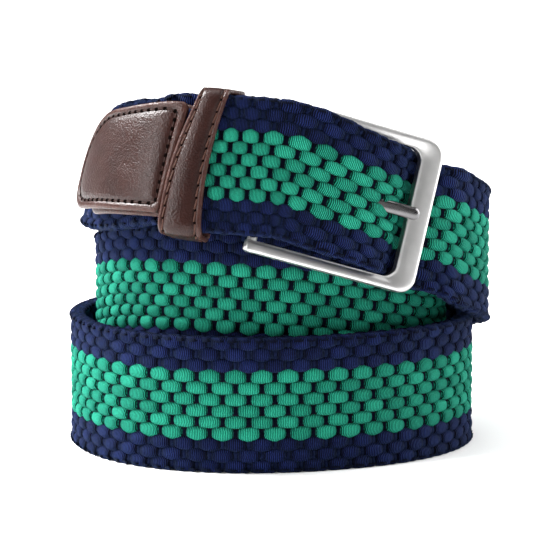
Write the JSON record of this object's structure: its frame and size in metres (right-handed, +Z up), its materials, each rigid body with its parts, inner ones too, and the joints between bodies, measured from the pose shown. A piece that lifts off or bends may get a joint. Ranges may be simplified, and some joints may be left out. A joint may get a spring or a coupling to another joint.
{
  "type": "elastic stretch belt",
  "caption": "Woven elastic belt with navy edges and a green centre, buckled through a rectangular pin buckle and coiled standing on its edge, with a stitched leather tip and keeper.",
  "frame": {"origin": "centre of the part's box in plan, on the surface it stands on", "axes": "+Z up, across the strap; -Y towards the side with the buckle; +X to the right as seen from that side"},
  "size_m": [0.1128, 0.114, 0.0989],
  "materials": {
    "weave": "ribbed elastic yarn, matt, green floats in the middle and navy floats at both edges",
    "buckle_metal": "satin, finely brushed along the bars",
    "leather": "dark brown, fine grain, soft sheen, burnished edges"
  },
  "bodies": {
    "root": {"woven_strap": "weave", "buckle_frame": "buckle_metal", "buckle_prong": "buckle_metal", "buckle_tab": "leather", "keeper_loop": "leather", "tip_front": "leather", "tip_back": "leather"}
  },
  "joints": []
}
